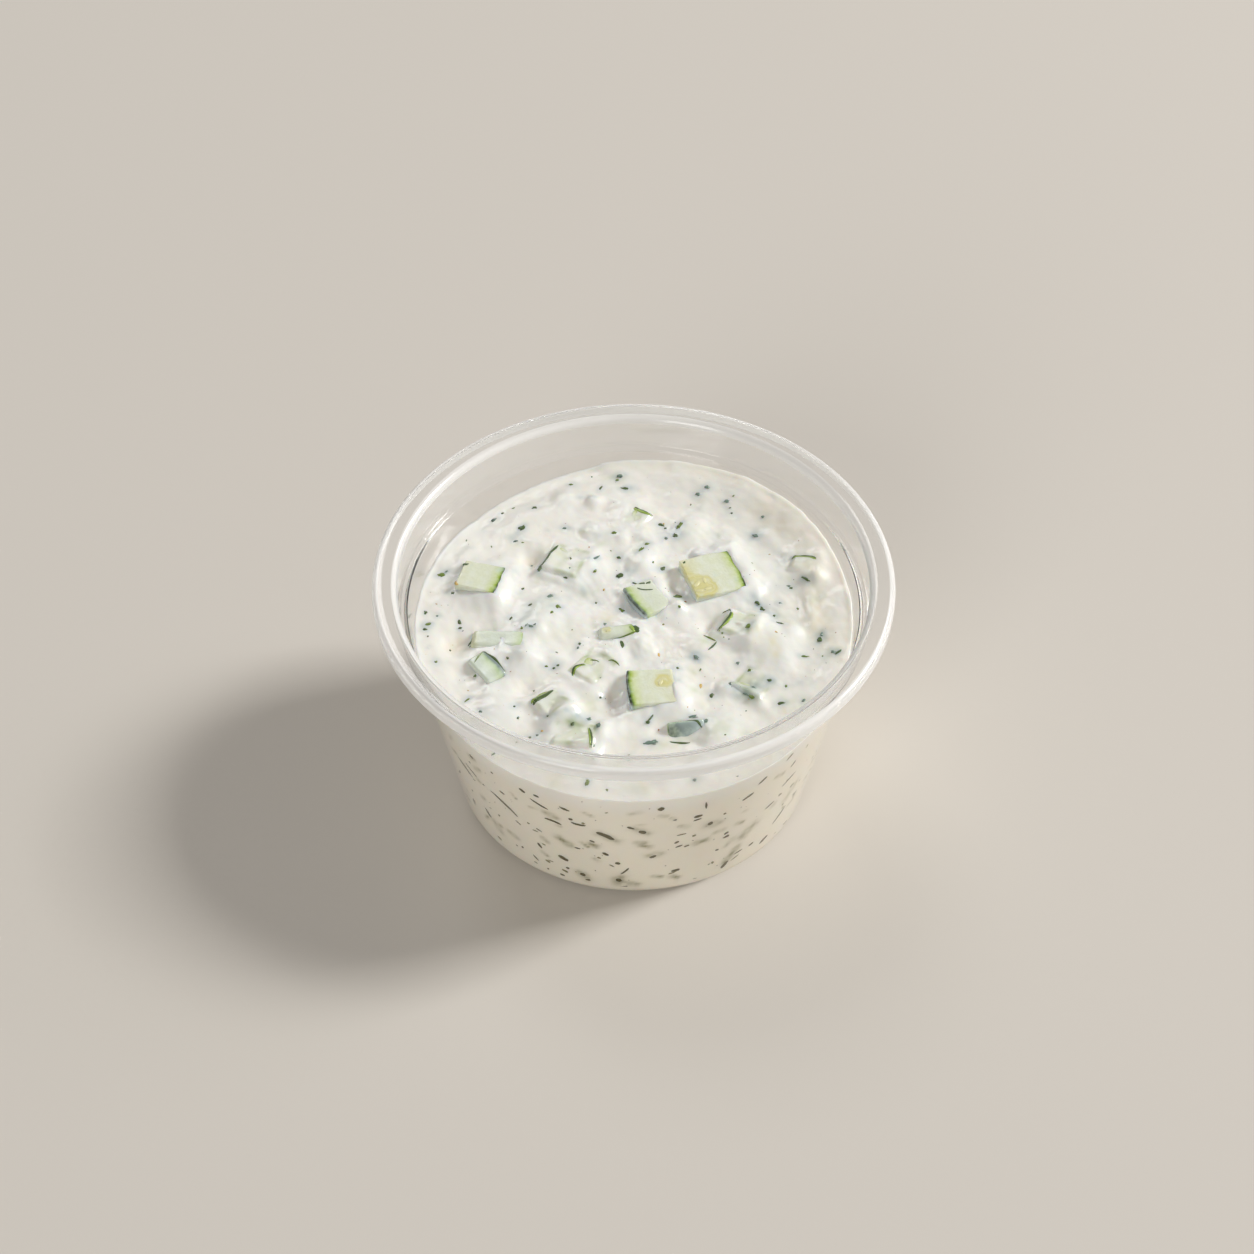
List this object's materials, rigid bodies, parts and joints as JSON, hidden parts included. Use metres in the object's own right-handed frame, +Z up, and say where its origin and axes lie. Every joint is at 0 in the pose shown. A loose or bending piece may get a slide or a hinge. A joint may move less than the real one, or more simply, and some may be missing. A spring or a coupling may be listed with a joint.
{
  "type": "raita in a clear portion cup",
  "caption": "Round tapered clear plastic portion cup with a turned-down rim, filled with thick white raita, diced cucumber and flecks of herb.",
  "frame": {"origin": "centre of the cup's base, on the surface that the cup stands on", "axes": "+Z up through the middle of the cup; -Y towards the viewer in the picture and +X to the viewer's right"},
  "size_m": [0.074, 0.074, 0.039],
  "materials": {
    "clear_plastic": "clear, glossy",
    "raita": "creamy white, moist",
    "cucumber": "pale green, moist",
    "herb": "dark green, matt",
    "spice": "brown, matt"
  },
  "bodies": {
    "root": {"cup": "clear_plastic", "raita": "raita", "cucumber_1": "cucumber", "cucumber_2": "cucumber", "cucumber_3": "cucumber", "cucumber_4": "cucumber", "cucumber_5": "cucumber", "cucumber_6": "cucumber", "cucumber_7": "cucumber", "cucumber_8": "cucumber", "cucumber_9": "cucumber", "cucumber_10": "cucumber", "cucumber_11": "cucumber", "cucumber_12": "cucumber", "cucumber_13": "cucumber", "cucumber_14": "cucumber", "cucumber_15": "cucumber", "cucumber_16": "cucumber"}
  },
  "joints": []
}
